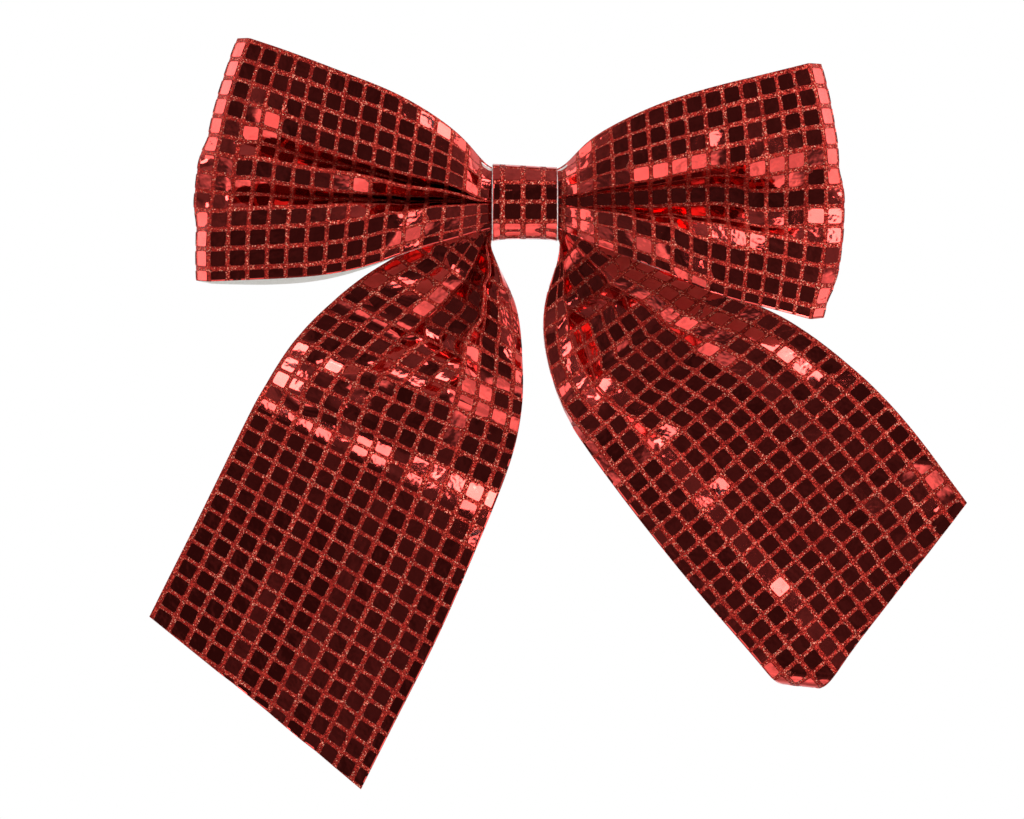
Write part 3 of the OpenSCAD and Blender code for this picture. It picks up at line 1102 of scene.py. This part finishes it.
# Where one of its squares is printed, and how far the print stops short of its edges
WRAP_PRINT = (wrap_u_at(3.9), WRAP_X + 3.25)
WRAP_MARGIN = 0.35
wrap, wrap_tiles = printed_ribbon("wrap", wrap_strip, WRAP_PRINT, bevel=WRAP_MARGIN)
for piece in (wrap, wrap_tiles):
    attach(piece, "knot")
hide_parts("knot_wrap")


# -------- binding wire, glue, wire tie

# The binding wire from the side, Y and Z of its centreline inside the wrap
WIRE_SIDE = [(-2.4, 0.0), (-2.5, 6.5), (-3.6, 11.0), (-6.0, 12.9), (-8.6, 13.2), (-11.2, 11.8),
             (-13.4, 9.6), (-15.3, 6.9), (-16.2, 3.8), (-16.3, 0.0), (-16.25, -4.4), (-15.8, -7.8),
             (-14.2, -10.5), (-11.9, -12.2), (-9.2, -12.9), (-6.2, -12.5), (-3.9, -10.7),
             (-2.7, -7.5), (-2.4, -3.5)]
WIRE_TURNS = 3
STEPS_PER_TURN = 120
WIRE_D = 0.7
WIRE_PITCH = 1.35 * WIRE_D


def tube_object(name, path, radius, material, sides=12):
    """A round wire along a path of points, with closed ends."""
    path = np.asarray(path, float)
    along = np.gradient(path, axis=0)
    along /= np.linalg.norm(along, axis=1, keepdims=True)
    side = np.cross(along[0], (0.3, 0.9, 0.2))
    turn = np.linspace(0, 2 * math.pi, sides, endpoint=False)
    rings = []
    for point, way in zip(path, along):
        side = side - way * (side @ way)
        side /= np.linalg.norm(side)
        ring = np.outer(np.cos(turn), side) + np.outer(np.sin(turn), np.cross(way, side))
        rings.append(point + radius * ring)
    uv = np.stack([np.repeat(lengths(path), sides),
                   np.tile(np.arange(sides) / sides, len(path))], axis=1)
    return new_object(name, np.concatenate(rings), tube_faces(len(path), sides), [material], uv,
                      sharp=60)


def make_wire():
    """Three turns of steel wire round the gathers, lying a little unevenly side by side."""
    corners = np.array(WIRE_SIDE + WIRE_SIDE[:1])
    knots = np.linspace(0, 1, len(corners))
    turns = np.linspace(0, WIRE_TURNS, STEPS_PER_TURN * WIRE_TURNS + 1)
    side = spline(knots, corners, turns % 1.0)
    x = WIRE_PITCH * (turns - WIRE_TURNS / 2)
    x += 0.05 * np.sin(5.0 * turns + 1.0) + 0.04 * np.sin(13.0 * turns)
    path = np.stack([x, side[:, 0], side[:, 1]], axis=1)
    return tube_object("binding_wire", path[:-2], WIRE_D / 2, steel)


# The glue bead: its middle, how far it spreads and stands, how far it stops short of the wrap's
# sides, and the length of its rounded ends
BEAD_Y, BEAD_Z = -0.95, 4.9
BEAD_REACH = 1.55
BEAD_RISE = 0.27
BEAD_SHORT = 3.2
BEAD_ROUND = 1.6


def make_glue():
    """Flattened hot-melt bead under the lapped end of the wrap."""
    sides, steps = 20, 60
    half = WRAP_X - BEAD_SHORT
    x = np.linspace(-half, half, steps)
    reach = BEAD_REACH + 0.18 * np.sin(1.1 * x) + 0.12 * np.sin(2.7 * x + 1.0)
    past = ((np.abs(x) - (half - BEAD_ROUND)) / BEAD_ROUND).clip(0, 1)
    ends = np.clip(1 - past ** 2, 0.04, 1) ** 0.5
    turn = np.linspace(0, 2 * math.pi, sides, endpoint=False)
    side_y = np.sign(np.sin(turn)) * np.abs(np.sin(turn)) ** 0.7
    points = []
    for k in range(steps):
        z = BEAD_Z + 0.15 * math.sin(0.8 * x[k]) + reach[k] * ends[k] * np.cos(turn)
        y = BEAD_Y + BEAD_RISE * ends[k] * side_y
        points += [(x[k], b, c) for b, c in zip(y, z)]
    uv = [(p[0] / 4, p[2] / 4) for p in points]
    return new_object("hot_melt_bead", points, tube_faces(steps, sides), [glue], uv)


sleeve_low, sleeve_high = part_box("tie_sleeve")
TIE_Y = (sleeve_low.y + sleeve_high.y) / 2 / MM
TIE_Z = (sleeve_low.z + sleeve_high.z) / 2 / MM
TIE_WIDTH = (sleeve_high.z - sleeve_low.z) / MM
TIE_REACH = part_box("right_tie_sleeve")[1].x / MM

# Half its thickness at the wings, over the core and at its edges, and the core's diameter
TIE_WING = 0.18
TIE_BULGE = 0.5
TIE_EDGE = 0.06
CORE_D = 0.5


def tie_line(x):
    """Y and Z of the tie's middle at x: straight under the wrap, a little bent by hand outside."""
    out = ease((np.abs(x) - 18) / 20)
    y = TIE_Y + out * (0.45 * np.sin(0.11 * np.abs(x) + 0.6) - 0.1)
    z = TIE_Z + out * 0.5 * np.sin(0.07 * np.abs(x) + (0.4 if x > 0 else 1.9))
    return y, z


def tie_stations():
    """X along half of the tie, closest where it bends beside the knot."""
    return np.concatenate([np.linspace(0, 11, 6), np.linspace(11.4, 18, 34),
                           np.linspace(19, TIE_REACH, 60)])


def make_sleeve(side, sign):
    """Half of the flat plastic sleeve: two thin wings and a round bulge over the core."""
    half = TIE_WIDTH / 2
    up = np.concatenate([[-half, -half + 0.12], np.linspace(-1.1, 1.1, 13), [half - 0.12, half]])
    thick = TIE_WING + (TIE_BULGE - TIE_WING) * np.exp(-(up / 0.42) ** 2)
    thick[[0, -1]] = TIE_EDGE
    ring = [(b, a) for a, b in zip(up, thick)] + [(-b, a) for a, b in zip(up[::-1], thick[::-1])]
    xs = tie_stations()
    points = []
    for x in xs:
        y, z = tie_line(sign * x)
        points += [(sign * x, y + a, z + b) for a, b in ring]
    faces = tube_faces(len(xs), len(ring), flip=sign > 0)
    uv = [(p[0] / 4, p[2] / 4) for p in points]
    return new_object(f"{side}_tie_sleeve_plastic", points, faces, [tie_plastic], uv, sharp=50)


def make_core(side, sign):
    """Half of the soft steel core, its cut end standing a little out of the sleeve."""
    xs = np.append(tie_stations(), TIE_REACH + 0.15)
    path = [(sign * x, *tie_line(sign * x)) for x in xs]
    return tube_object(f"{side}_tie_core_wire", path, CORE_D / 2, steel, 10)


wire = make_wire()
bead = make_glue()
for piece, name, node in ((wire, "wire", "cinch_wire"), (bead, "glue", "lap_glue")):
    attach(piece, "knot")
    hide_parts(node)
for side, sign in (("left", -1), ("right", 1)):
    for piece, name, part in ((make_sleeve(side, sign), "tie_plastic", "tie_sleeve"),
                              (make_core(side, sign), "wire", "tie_core")):
        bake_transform(piece)
        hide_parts(*([f"{side}_{part}"] + ([part] if side == "left" else [])))


# -------- loops and tails in place of their CAD parts


def hand_over(part, side, sign, ribbon, tiles, length):
    for piece in (ribbon, tiles):
        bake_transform(piece)
    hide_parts(f"{side}_{part}", *([f"{part}_waist"] if side == "left" else []))


for part, left, right in (("loop", left_loop, right_loop), ("tail", left_tail, right_tail)):
    hand_over(part, "left", -1, *left)
    hand_over(part, "right", 1, *right)
